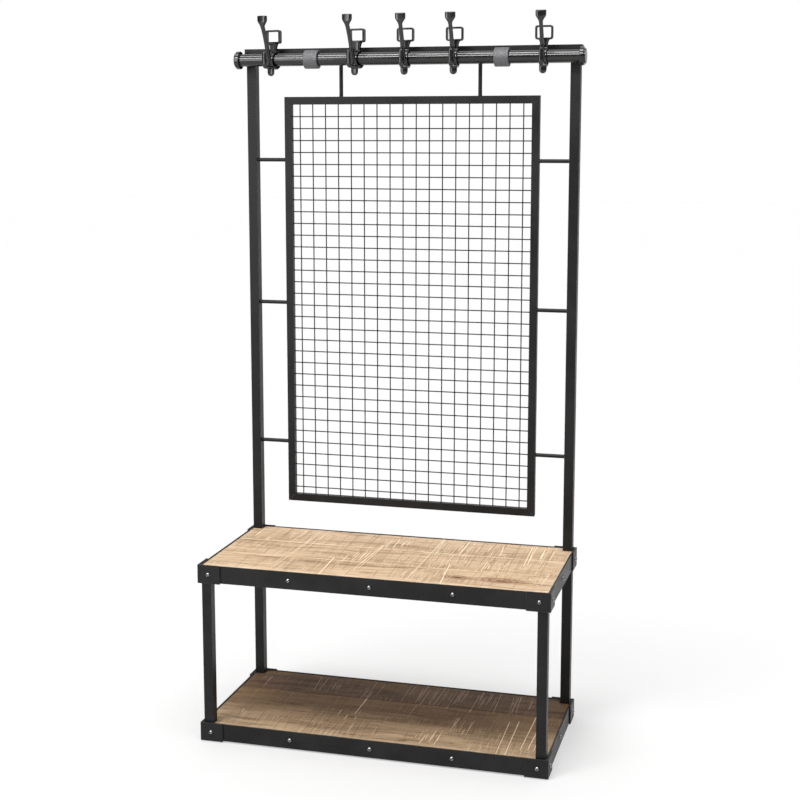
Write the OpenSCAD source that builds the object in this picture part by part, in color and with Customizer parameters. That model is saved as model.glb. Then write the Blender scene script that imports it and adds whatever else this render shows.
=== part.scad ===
// Entryway bench with a wire-mesh back and a coat rail.
// Millimetres. +X is to the right seen from the front, +Y is to the rear, +Z is up.
// The origin is on the floor, at the middle of the footprint.

/* [Overall] */
// Width over the corner brackets
overall_w = 900; // [720:10:1200]
// Depth over the corner brackets
overall_d = 410; // [330:5:520]
// Height of the top bar's upper face above the floor
bar_top_h = 1760; // [1450:10:2120]
// Height of the top edge of the seat rails above the floor
seat_h = 465; // [380:5:560]

/* [Tubes and rails] */
// Side of the square tube of the legs and posts
tube_side = 25; // [20:1:32]
// Wall of the square tube
tube_wall = 1.5; // [1:0.1:2.5]
// Height of the upright leg of the deck rails
rail_h = 45; // [40:1:56]
// Width of the flat leg of the deck rails
rail_ledge = 25; // [18:1:34]
// Thickness of the rails and of the top bar
rail_t = 4; // [3:0.5:5]
// Thickness of the plug flange under each tube
foot_h = 2; // [1:0.5:6]

/* [Corner brackets] */
// Length of each leg of a corner bracket
bracket_leg = 60; // [50:1:80]
// Thickness of a corner bracket
bracket_t = 4; // [3:0.5:5]
// How far a bracket stands above and below its rail
bracket_proud = 1.5; // [0.5:0.5:3]

/* [Wooden decks] */
// Thickness of the planks
plank_t = 15; // [12:1:18]
// How far the planks' top lies below the rails' top
deck_below_rail = 1; // [0:0.5:4]
// Width of the battens
batten_w = 30; // [24:1:40]
// Gap between planks and round the decks
deck_gap = 0.6; // [0.3:0.1:2]
// Distance from a rail's end to its outer rail bolt
rail_bolt_inset = 236; // [160:2:260]

/* [Bolts] */
// Diameter of the frame bolts
bolt_d = 6; // [5:0.5:8]
// Diameter of a bolt head
bolt_head_d = 12; // [10:0.5:14]
// Height of a bolt's domed head
bolt_head_h = 5; // [3:0.5:6]

/* [Top bar and coat rail] */
// Height of the top bar's front leg
bar_h = 45; // [40:1:60]
// Diameter of the round coat rail
coat_rail_d = 32; // [25:1:38]
// Wall of the round coat rail
coat_rail_wall = 1.5; // [1:0.1:2.5]
// Height of the bar's top above the coat rail's axis
coat_rail_drop = 30; // [26:1:36]
// Distance from the coat rail's axis to the bar's front face
coat_rail_standoff = 26; // [26:1:32]
// Diameter of a rail clip's band
clip_d = 48; // [44:1:50]
// Width of a rail clip
clip_w = 38; // [24:1:50]
// Distance from the bar's end to the middle of a rail clip
clip_inset = 196; // [160:2:220]
// Diameter of an end cap's flange
cap_d = 46; // [40:1:50]
// Length of an end cap outside the rail
cap_len = 14; // [8:1:20]

/* [Mesh panel] */
// Width of the panel's frame members
member_w = 20; // [15:1:25]
// Depth of the panel's frame members
member_d = 15; // [12:1:20]
// Gap between the panel and each post
panel_side_gap = 77; // [40:1:110]
// Gap between the panel and the top bar's flat leg
panel_top_gap = 120; // [60:1:160]
// Gap between the panel and the seat rails
panel_bottom_gap = 83; // [40:1:160]
// Spacing of the upright wires
wire_pitch_x = 35.1; // [25:0.1:60]
// Spacing of the level wires
wire_pitch_z = 31.2; // [25:0.1:60]
// Diameter of the mesh wires
wire_d = 3; // [2:0.1:4]
// Diameter of the rods that hold the panel
rod_d = 10; // [8:0.5:12]
// Distance between neighbouring side rods
side_rod_pitch = 380; // [200:5:390]
// Distance from the middle of the panel to each top rod
top_rod_x = 185; // [60:5:230]

/* [Coat hooks] */
// Distance from the bar's end to the end hooks
end_hook_inset = 91; // [50:1:120]
// Distance between the three inner hooks
inner_hook_pitch = 128; // [100:1:135]
// Turn of the two left hooks on the rail, in degrees
left_hook_turn = -13; // [-13:1:0]
// Radial play between a hook's ring and the coat rail
hook_ring_play = 3.5; // [3.5:0.1:4.5]
// Wall of a hook's ring
hook_ring_wall = 3.5; // [3:0.1:4]
// Width of a hook's ring
hook_ring_w = 20; // [16:0.5:20]

/* [Hidden] */
$fn = 64;
eps = 0.01;
// small allowance that keeps moving pieces and fitted pieces apart
hang_gap = 1.6;
plug_clear = 0.2;
wire_gap = 0.2;

// levels
seat_z = seat_h - rail_h;
shelf_z = foot_h + bracket_proud;
bolt_z = rail_h / 2;
batten_h = rail_h - rail_t - plank_t - deck_below_rail;
plank_z = rail_t + batten_h;

// plan of the deck frames
frame_w = overall_w - 2 * bracket_t;
frame_d = overall_d - 2 * bracket_t;
inner_w = frame_w - 2 * rail_t;
inner_d = frame_d - 2 * rail_t;
tube_x = inner_w / 2 - tube_side / 2;
tube_y = inner_d / 2 - tube_side / 2;
tube_gap_x = inner_w - 2 * tube_side;
tube_gap_y = inner_d - 2 * tube_side;
post_top = bar_top_h - rail_t;

// bolts: the bracket bolts pass just inside the tube's inner wall
bracket_bolt_in = tube_side - tube_wall - bolt_d / 2 - 0.5;
bracket_bolt_x = inner_w / 2 - bracket_bolt_in;
bracket_bolt_y = inner_d / 2 - bracket_bolt_in;
rail_bolt_x = frame_w / 2 - rail_bolt_inset;
bracket_bolt_len = bracket_t + rail_t + tube_wall + 4;
rail_bolt_grip = 26;
end_bolt_grip = 20;
bolt_hole_clear = 0.25;
socket_d = bolt_d * 0.75;
socket_depth = bolt_head_h * 0.55;

// deck boards
plank_count = 3;
deck_w = inner_w - 2 * deck_gap;
deck_d = inner_d - 2 * deck_gap;
plank_w = (deck_d - (plank_count - 1) * deck_gap) / plank_count;
batten_xs = [-rail_bolt_x, 0, rail_bolt_x];
screw_d = 4;
screw_head_d = 8;
screw_head_h = 2.5;
screw_bite = plank_t * 0.65;

// top bar and coat rail
bar_front = inner_d / 2 - tube_side - rail_t;
coat_y = bar_front - coat_rail_standoff;
coat_z = bar_top_h - coat_rail_drop;
coat_r = coat_rail_d / 2;
clip_x = frame_w / 2 - clip_inset;
clip_pad_h = bar_h - coat_rail_drop + 18;
clip_screw_bite = coat_rail_standoff - coat_r - 1;
cap_stem = 20;
cap_step = 4;

// mesh panel
panel_w = tube_gap_x - 2 * panel_side_gap;
panel_bottom = seat_h + panel_bottom_gap;
panel_top = post_top - panel_top_gap;
panel_h = panel_top - panel_bottom;
panel_mid_z = (panel_top + panel_bottom) / 2;
member_wall = 1.2;
mesh_w = panel_w - 2 * member_w;
mesh_h = panel_h - 2 * member_w;
wires_up = round(mesh_w / wire_pitch_x);
wires_level = floor((mesh_h - wire_d) / wire_pitch_z);

// coat hook, measured from the middle of its ring
ring_in = coat_r + hook_ring_play;
ring_out = ring_in + hook_ring_wall;
hook_sag = hook_ring_play - hang_gap;
loop_w = 45;
loop_h = 35;
loop_strip = 5;
loop_depth = 12;
loop_corner = 7;
loop_base = ring_out + 20;
neck_top_w = 27;
prong_d = 10;
prong_foot = [0, -ring_in + 4, 6];
prong_head = [0, -52, loop_base + 46];
knob_w = 26;
knob_t = 13;
knob_h = 22;
knob_flare = 10;
leaf_w = 9;
leaf_t = 9;
leaf_reach = 50;
leaf_bend = 14;
leaf_top = 19;
bend_z = -8;
lug_w = 19;
lug_t = 10;
lug_y = -9;
lug_drop = 40;

// ---------- shared shapes ----------

// a cylinder along X, Y or Z, centred on its middle
module along(axis, d, h) {
    turn = axis == "x" ? [0, 90, 0] : axis == "y" ? [90, 0, 0] : [0, 0, 0];
    rotate(turn) cylinder(d = d, h = h, center = true);
}

// a block given by its low corner and its high corner
module block(low, high) {
    translate(low) cube(high - low);
}

// hollow square tube standing at a plan position
module square_tube(x, y, bottom, top) {
    hollow = tube_side - 2 * tube_wall;
    translate([x, y, (bottom + top) / 2]) difference() {
        cube([tube_side, tube_side, top - bottom], center = true);
        cube([hollow, hollow, top - bottom + 2], center = true);
    }
}

// bolt holes of one corner, through everything that the two bracket bolts cross
module corner_bolt_bores(side_x, side_y, d) {
    for (z = [seat_z, shelf_z]) {
        translate([side_x * bracket_bolt_x, side_y * (inner_d / 2 + 2), z + bolt_z]) along("y", d, 16);
        translate([side_x * (inner_w / 2 + 2), side_y * bracket_bolt_y, z + bolt_z]) along("x", d, 16);
    }
}

// domed bolt with a hex socket: its head's seat is at z = 0 and its head points up
module frame_bolt(length) {
    head_r = bolt_head_d / 2;
    dome_r = (head_r * head_r + bolt_head_h * bolt_head_h) / (2 * bolt_head_h);
    difference() {
        intersection() {
            translate([0, 0, bolt_head_h - dome_r]) sphere(r = dome_r);
            cylinder(d = bolt_head_d + 2, h = bolt_head_h + 1);
        }
        translate([0, 0, bolt_head_h - socket_depth]) cylinder(d = socket_d, h = bolt_head_h, $fn = 6);
    }
    translate([0, 0, -length]) cylinder(d = bolt_d, h = length + eps);
}

// bolt that enters the front (side -1) or the rear (side 1)
module bolt_along_y(x, face, z, side, length) {
    translate([x, side * face, z]) rotate([-90 * side, 0, 0]) frame_bolt(length);
}

// bolt that enters the left (side -1) or the right (side 1)
module bolt_along_x(y, face, z, side, length) {
    translate([side * face, y, z]) rotate([0, 90 * side, 0]) frame_bolt(length);
}

// ---------- legs, posts and feet ----------

module leg(side_x) {
    color("dimgray") difference() {
        square_tube(side_x * tube_x, -tube_y, foot_h, seat_z + plank_z);
        corner_bolt_bores(side_x, -1, bolt_d);
    }
}

module post(side_x) {
    color("dimgray") difference() {
        square_tube(side_x * tube_x, tube_y, foot_h, post_top);
        corner_bolt_bores(side_x, 1, bolt_d);
    }
}

module foot_plugs() {
    stem = tube_side - 2 * tube_wall - 2 * plug_clear;
    stem_h = 14;
    color("black") for (side_x = [-1, 1], side_y = [-1, 1]) {
        translate([side_x * tube_x, side_y * tube_y, foot_h / 2]) {
            cube([tube_side, tube_side, foot_h], center = true);
            translate([0, 0, stem_h / 2]) cube([stem, stem, foot_h + stem_h - eps], center = true);
        }
    }
}

// ---------- deck rails ----------

// long rail: upright leg outside, flat leg under the deck between the tubes
module long_rail(z, side_y) {
    y = frame_d / 2;
    color("dimgray") mirror([0, side_y > 0 ? 1 : 0, 0]) difference() {
        union() {
            block([-frame_w / 2, -y, z], [frame_w / 2, -y + rail_t, z + rail_h]);
            block([-tube_gap_x / 2, -y + rail_t - eps, z], [tube_gap_x / 2, -y + rail_ledge, z + rail_t]);
        }
        for (x = [-bracket_bolt_x, each batten_xs, bracket_bolt_x]) {
            translate([x, -y, z + bolt_z]) along("y", bolt_d + 2 * bolt_hole_clear, 4 * rail_t);
        }
    }
}

// short rail: fits between the long rails
module short_rail(z, side_x) {
    x = frame_w / 2;
    color("dimgray") mirror([side_x > 0 ? 1 : 0, 0, 0]) difference() {
        union() {
            block([-x, -inner_d / 2, z], [-x + rail_t, inner_d / 2, z + rail_h]);
            block([-x + rail_t - eps, -tube_gap_y / 2, z], [-x + rail_ledge, tube_gap_y / 2, z + rail_t]);
        }
        for (y = [-bracket_bolt_y, 0, bracket_bolt_y]) {
            translate([-x, y, z + bolt_z]) along("x", bolt_d + 2 * bolt_hole_clear, 4 * rail_t);
        }
    }
}

// corner bracket: an L that wraps the outside of two rails
module corner_bracket(z, side_x, side_y) {
    low = z - bracket_proud;
    high = z + rail_h + bracket_proud;
    corner = [overall_w / 2, overall_d / 2];
    hole = bolt_d + 2 * bolt_hole_clear;
    color("dimgray") mirror([side_x > 0 ? 1 : 0, 0, 0]) mirror([0, side_y > 0 ? 1 : 0, 0]) difference() {
        block([-corner.x, -corner.y, low], [-corner.x + bracket_leg, -corner.y + bracket_leg, high]);
        block([-frame_w / 2, -frame_d / 2, low - 1],
              [-corner.x + bracket_leg + 1, -corner.y + bracket_leg + 1, high + 1]);
        translate([-bracket_bolt_x, -corner.y, z + bolt_z]) along("y", hole, 4 * bracket_t);
        translate([-corner.x, -bracket_bolt_y, z + bolt_z]) along("x", hole, 4 * bracket_t);
    }
}

// ---------- wooden decks ----------

// one plank, notched round the tubes that pass it: tube_sides lists the front (-1) and rear (1) pairs
module plank(z, place, tube_sides) {
    y = -deck_d / 2 + place * (plank_w + deck_gap);
    notch = tube_side + 2 * deck_gap;
    color("burlywood") difference() {
        block([-deck_w / 2, y, z + plank_z], [deck_w / 2, y + plank_w, z + plank_z + plank_t]);
        for (side_x = [-1, 1], side_y = tube_sides) {
            translate([side_x * tube_x, side_y * tube_y, z + plank_z + plank_t / 2])
                cube([notch, notch, plank_t + 2], center = true);
        }
        for (x = batten_xs) {
            translate([x, y + plank_w / 2, z + plank_z - 1]) cylinder(d = screw_d, h = screw_bite + 1);
        }
    }
}

// battens along the depth, bolted to the long rails at both ends
module cross_battens(z) {
    half = inner_d / 2 - deck_gap;
    color("tan") for (x = batten_xs) difference() {
        block([x - batten_w / 2, -half, z + rail_t], [x + batten_w / 2, half, z + plank_z]);
        for (side = [-1, 1]) {
            translate([x, side * (frame_d / 2 - rail_bolt_grip / 2), z + bolt_z])
                along("y", bolt_d, rail_bolt_grip + 2 * rail_t);
        }
        for (place = [0 : plank_count - 1]) {
            translate([x, -deck_d / 2 + (place + 0.5) * plank_w + place * deck_gap, z])
                cylinder(d = screw_d, h = rail_h);
        }
    }
}

// battens along the short rails, between the tubes
module end_battens(z) {
    half = tube_gap_y / 2 - deck_gap;
    outer = inner_w / 2 - deck_gap;
    color("tan") for (side = [0, 1]) mirror([side, 0, 0]) difference() {
        block([-outer, -half, z + rail_t], [-outer + batten_w, half, z + plank_z]);
        translate([-frame_w / 2 + end_bolt_grip / 2, 0, z + bolt_z]) along("x", bolt_d, end_bolt_grip + 2 * rail_t);
    }
}

// wood screws that pull the planks down on the cross battens
module deck_screws(z) {
    color("silver") for (x = batten_xs, place = [0 : plank_count - 1]) {
        translate([x, -deck_d / 2 + (place + 0.5) * plank_w + place * deck_gap, z + rail_t]) {
            translate([0, 0, -screw_head_h]) cylinder(d = screw_head_d, h = screw_head_h);
            translate([0, 0, -eps]) cylinder(d = screw_d, h = batten_h + screw_bite - 0.5);
        }
    }
}

// every bolt of one deck frame
module frame_bolts(z) {
    color("black") for (side = [-1, 1]) {
        for (x = batten_xs) bolt_along_y(x, frame_d / 2, z + bolt_z, side, rail_bolt_grip);
        bolt_along_x(0, frame_w / 2, z + bolt_z, side, end_bolt_grip);
        for (other = [-1, 1]) {
            bolt_along_y(other * bracket_bolt_x, overall_d / 2, z + bolt_z, side, bracket_bolt_len);
            bolt_along_x(other * bracket_bolt_y, overall_w / 2, z + bolt_z, side, bracket_bolt_len);
        }
    }
}

// ---------- top bar and coat rail ----------

// angle bar: its front leg covers the posts' heads and its flat leg caps them
module top_bar() {
    color("dimgray") difference() {
        union() {
            block([-frame_w / 2, bar_front, bar_top_h - bar_h], [frame_w / 2, bar_front + rail_t, bar_top_h]);
            block([-frame_w / 2, bar_front + rail_t - eps, post_top], [frame_w / 2, inner_d / 2, bar_top_h]);
        }
        for (side = [-1, 1]) {
            translate([side * clip_x, bar_front, coat_z]) along("y", bolt_d + 2 * bolt_hole_clear, 4 * rail_t);
        }
    }
}

module coat_rail() {
    color("black") translate([0, coat_y, coat_z]) difference() {
        along("x", coat_rail_d, frame_w);
        along("x", coat_rail_d - 2 * coat_rail_wall, frame_w + 2);
    }
}

// clip: a band round the coat rail with a flat foot against the bar
module rail_clip(side) {
    pad_low = coat_rail_drop - bar_h;
    color("gray") translate([side * clip_x, coat_y, coat_z]) difference() {
        union() {
            along("x", clip_d, clip_w);
            block([-clip_w / 2, 0, pad_low], [clip_w / 2, coat_rail_standoff, pad_low + clip_pad_h]);
        }
        along("x", coat_rail_d, clip_w + 2);
        translate([0, coat_rail_standoff, 0]) along("y", bolt_d, 2 * clip_screw_bite);
    }
}

module rail_clip_screws() {
    color("black") for (side = [-1, 1]) {
        bolt_along_y(side * clip_x, bar_front + rail_t, coat_z, 1, rail_t + clip_screw_bite);
    }
}

// end cap: a stepped round flange with a stem that plugs the coat rail
module end_cap(side) {
    stem_d = coat_rail_d - 2 * coat_rail_wall - 2 * plug_clear;
    color("black") translate([side * frame_w / 2, coat_y, coat_z]) rotate([0, 90 * side, 0]) {
        cylinder(d = cap_d, h = cap_len - cap_step);
        cylinder(d = cap_d - 2 * cap_step, h = cap_len);
        translate([0, 0, -cap_stem]) cylinder(d = stem_d, h = cap_stem + 1);
    }
}

// ---------- mesh panel ----------

// hollow member with mitred ends, along X, centred on its outer length
module mitred_member(length) {
    half = length / 2;
    hollow = [length + 2, member_d - 2 * member_wall, member_w - 2 * member_wall];
    intersection() {
        difference() {
            translate([0, 0, member_w / 2]) cube([length, member_d, member_w], center = true);
            translate([0, 0, member_w / 2]) cube(hollow, center = true);
        }
        rotate([90, 0, 0]) linear_extrude(member_d + 2, center = true)
            polygon([[-half, 0], [half, 0], [half - member_w, member_w], [-half + member_w, member_w]]);
    }
}

module panel_level_member(end) {
    height = end > 0 ? panel_top : panel_bottom;
    color("dimgray") translate([0, tube_y, height]) rotate([0, end > 0 ? 180 : 0, 0]) mitred_member(panel_w);
}

module panel_side_member(side) {
    color("dimgray") translate([side * panel_w / 2, tube_y, panel_mid_z])
        rotate([0, -90 * side, 0]) mitred_member(panel_h);
}

module mesh_upright_wires() {
    first = -(wires_up - 1) * wire_pitch_x / 2;
    color("gray") for (i = [0 : wires_up - 1]) {
        translate([first + i * wire_pitch_x, tube_y - (wire_d + wire_gap) / 2, panel_mid_z])
            along("z", wire_d, mesh_h);
    }
}

module mesh_level_wires() {
    top = panel_top - member_w;
    color("gray") for (i = [1 : wires_level]) {
        translate([0, tube_y + (wire_d + wire_gap) / 2, top - i * wire_pitch_z]) along("x", wire_d, mesh_w);
    }
}

// three short rods between a post and the panel
module panel_side_rods(side) {
    middle = (panel_w + tube_gap_x) / 4;
    color("dimgray") for (step = [-1 : 1]) {
        translate([side * middle, tube_y, panel_mid_z + step * side_rod_pitch])
            along("x", rod_d, panel_side_gap);
    }
}

module panel_top_rods() {
    color("dimgray") for (side = [-1, 1]) {
        translate([side * top_rod_x, tube_y, panel_top]) cylinder(d = rod_d, h = panel_top_gap);
    }
}

// ---------- coat hooks ----------

// a round rod between two points
module rod(from, to, d) {
    reach = to - from;
    length = norm(reach);
    tilt = acos(reach.z / length);
    heading = atan2(reach.y, reach.x);
    translate(from) rotate([0, tilt, heading]) cylinder(d = d, h = length);
}

// rectangle with round corners, standing on y = 0 and centred on x = 0
module round_rect(w, h, r) {
    translate([-w / 2 + r, 0]) square([w - 2 * r, h]);
    translate([-w / 2, r]) square([w, h - 2 * r]);
    for (x = [-w / 2 + r, w / 2 - r], y = [r, h - r]) translate([x, y]) circle(r = r);
}

// open loop above the ring, on a neck that widens upwards
module hook_loop() {
    rotate([90, 0, 0]) linear_extrude(loop_depth, center = true) {
        translate([0, loop_base]) difference() {
            round_rect(loop_w, loop_h, loop_corner);
            translate([0, loop_strip])
                round_rect(loop_w - 2 * loop_strip, loop_h - 2 * loop_strip, loop_corner - loop_strip);
        }
        polygon([[-hook_ring_w / 2, ring_in / 2], [hook_ring_w / 2, ring_in / 2],
                 [neck_top_w / 2, loop_base + loop_strip / 2], [-neck_top_w / 2, loop_base + loop_strip / 2]]);
    }
}

// leaning prong with a flat-topped knob
module hook_prong() {
    rod(prong_foot, prong_head, prong_d);
    translate(prong_head) rotate([90, 0, 0]) linear_extrude(knob_t, center = true)
        polygon([[-prong_d / 2, 0], [prong_d / 2, 0], [knob_w / 2, knob_flare],
                 [knob_w / 2, knob_h], [-knob_w / 2, knob_h], [-knob_w / 2, knob_flare]]);
}

// lower hook: a strap that runs forward under the ring, bends up and rises in front of the rail
module hook_leaf() {
    middle = -leaf_reach + leaf_bend;
    rotate([90, 0, 90]) linear_extrude(leaf_w, center = true) {
        intersection() {
            translate([middle, bend_z]) difference() {
                circle(r = leaf_bend);
                circle(r = leaf_bend - leaf_t);
            }
            translate([-leaf_reach - 1, -2 * leaf_reach]) square([leaf_bend + 1, 2 * leaf_reach + bend_z]);
        }
        translate([middle, bend_z - leaf_bend]) square([lug_y - middle, leaf_t]);
        translate([-leaf_reach, bend_z]) square([leaf_t, leaf_top - bend_z]);
        translate([-leaf_reach + leaf_t / 2, leaf_top]) circle(d = leaf_t);
    }
}

// round-ended lug that hangs below the ring
module hook_lug() {
    translate([0, lug_y, 0]) rotate([90, 0, 0]) linear_extrude(lug_t) {
        translate([0, lug_w / 2 - lug_drop]) circle(d = lug_w);
        translate([-lug_w / 2, lug_w / 2 - lug_drop]) square([lug_w, lug_drop - lug_w / 2 - leaf_bend]);
    }
}

// one cast hook, hanging on the coat rail at x
module coat_hook(x, turn) {
    color("black") translate([x, coat_y, coat_z - hook_sag]) rotate([0, 0, turn]) difference() {
        union() {
            along("x", 2 * ring_out, hook_ring_w);
            hook_loop();
            hook_prong();
            hook_leaf();
            hook_lug();
        }
        along("x", 2 * ring_in, 3 * hook_ring_w);
    }
}

// ---------- nodes ----------

leg(-1);  // left_front_leg
leg(1);  // right_front_leg
post(-1);  // left_rear_post
post(1);  // right_rear_post
foot_plugs();
long_rail(seat_z, -1);  // seat_front_rail
long_rail(seat_z, 1);  // seat_rear_rail
short_rail(seat_z, -1);  // seat_left_rail
short_rail(seat_z, 1);  // seat_right_rail
long_rail(shelf_z, -1);  // shelf_front_rail
long_rail(shelf_z, 1);  // shelf_rear_rail
short_rail(shelf_z, -1);  // shelf_left_rail
short_rail(shelf_z, 1);  // shelf_right_rail
corner_bracket(seat_z, -1, -1);  // seat_bracket_front_left
corner_bracket(seat_z, 1, -1);  // seat_bracket_front_right
corner_bracket(seat_z, -1, 1);  // seat_bracket_rear_left
corner_bracket(seat_z, 1, 1);  // seat_bracket_rear_right
corner_bracket(shelf_z, -1, -1);  // shelf_bracket_front_left
corner_bracket(shelf_z, 1, -1);  // shelf_bracket_front_right
corner_bracket(shelf_z, -1, 1);  // shelf_bracket_rear_left
corner_bracket(shelf_z, 1, 1);  // shelf_bracket_rear_right
plank(seat_z, 0, []);  // seat_plank_front
plank(seat_z, 1, []);  // seat_plank_middle
plank(seat_z, 2, [1]);  // seat_plank_rear
plank(shelf_z, 0, [-1]);  // shelf_plank_front
plank(shelf_z, 1, []);  // shelf_plank_middle
plank(shelf_z, 2, [1]);  // shelf_plank_rear
cross_battens(seat_z);  // seat_cross_battens
end_battens(seat_z);  // seat_end_battens
cross_battens(shelf_z);  // shelf_cross_battens
end_battens(shelf_z);  // shelf_end_battens
deck_screws(seat_z);  // seat_deck_screws
deck_screws(shelf_z);  // shelf_deck_screws
frame_bolts(seat_z);  // seat_frame_bolts
frame_bolts(shelf_z);  // shelf_frame_bolts
top_bar();
coat_rail();
rail_clip(-1);  // left_rail_clip
rail_clip(1);  // right_rail_clip
rail_clip_screws();
end_cap(-1);  // left_end_cap
end_cap(1);  // right_end_cap
panel_level_member(1);  // panel_top_member
panel_level_member(-1);  // panel_bottom_member
panel_side_member(-1);  // panel_left_member
panel_side_member(1);  // panel_right_member
mesh_upright_wires();
mesh_level_wires();
panel_side_rods(-1);  // panel_left_rods
panel_side_rods(1);  // panel_right_rods
panel_top_rods();
coat_hook(-frame_w / 2 + end_hook_inset, left_hook_turn);  // left_end_hook
coat_hook(-inner_hook_pitch, left_hook_turn);  // left_inner_hook
coat_hook(0, 0);  // centre_hook
coat_hook(inner_hook_pitch, 0);  // right_inner_hook
coat_hook(frame_w / 2 - end_hook_inset, 0);  // right_end_hook
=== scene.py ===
import math
import random

import bmesh
import bpy
import numpy as np
from mathutils import Matrix, Vector, noise


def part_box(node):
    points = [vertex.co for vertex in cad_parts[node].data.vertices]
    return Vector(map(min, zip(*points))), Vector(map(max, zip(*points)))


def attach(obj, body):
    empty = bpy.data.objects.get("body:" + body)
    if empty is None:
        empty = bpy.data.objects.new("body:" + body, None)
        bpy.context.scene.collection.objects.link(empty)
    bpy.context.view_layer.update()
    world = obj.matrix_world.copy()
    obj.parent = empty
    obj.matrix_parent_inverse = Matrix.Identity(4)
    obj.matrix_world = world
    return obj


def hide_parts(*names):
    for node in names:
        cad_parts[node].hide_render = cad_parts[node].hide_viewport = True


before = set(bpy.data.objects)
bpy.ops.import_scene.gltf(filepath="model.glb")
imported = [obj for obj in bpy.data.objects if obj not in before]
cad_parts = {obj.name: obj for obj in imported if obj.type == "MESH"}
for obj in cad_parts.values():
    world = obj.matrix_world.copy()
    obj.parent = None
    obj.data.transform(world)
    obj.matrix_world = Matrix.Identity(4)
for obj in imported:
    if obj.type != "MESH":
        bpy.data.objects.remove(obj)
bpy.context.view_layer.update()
MM = 0.001

# ---------- sizes that the frame does not say ----------

# hooks: the rings' middle is the origin of heights
HOOK_TURN = math.radians(13)
LOOP_W = 45 * MM
LOOP_H = 35 * MM
LOOP_DEPTH = 12 * MM
LOOP_STRIP = 5 * MM
LOOP_CORNER = 6 * MM
LOOP_BASE = 43 * MM
HOOK_TOP = 111 * MM
RING_IN = 18.9 * MM
SNUG_RING_IN = 18.4 * MM
RING_OUT = 23 * MM
RING_W = 18.5 * MM
HOOK_VOXEL = 0.75 * MM

# planks
SAW_DEPTH = 0.25 * MM
PLANK_EASE = 2.2 * MM
WORN_EDGE = 3.5 * MM
WORN_FRONT = 26 * MM
TUBE_GAP = 0.6 * MM
PLANK_WAVE = 0.25 * MM

# rounded edges of the CAD nodes
FRAME_EASE = 0.7 * MM
PANEL_EASE = 0.6 * MM
BATTEN_EASE = 0.8 * MM
CAP_EASE = 1.1 * MM
PLUG_EASE = 0.4 * MM

# rail clips and weld beads
CLIP_VOXEL = 0.9 * MM
CLIP_SIDE_GAP = 0.3 * MM
CLIP_RIM = 1.6 * MM
CLIP_GRIT = 0.22 * MM
CLIP_FOOT_START = 17.4 * MM
CLIP_FOOT_H = 33 * MM
CLIP_FOOT_UP = 1.5 * MM
WELD_FAT = 1.25 * MM
WELD_INSET = 0.5 * MM

HOOKS = ["left_end_hook", "left_inner_hook", "centre_hook", "right_inner_hook", "right_end_hook"]
TUBES = ["left_front_leg", "right_front_leg", "left_rear_post", "right_rear_post"]


# ---------- materials ----------

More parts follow.
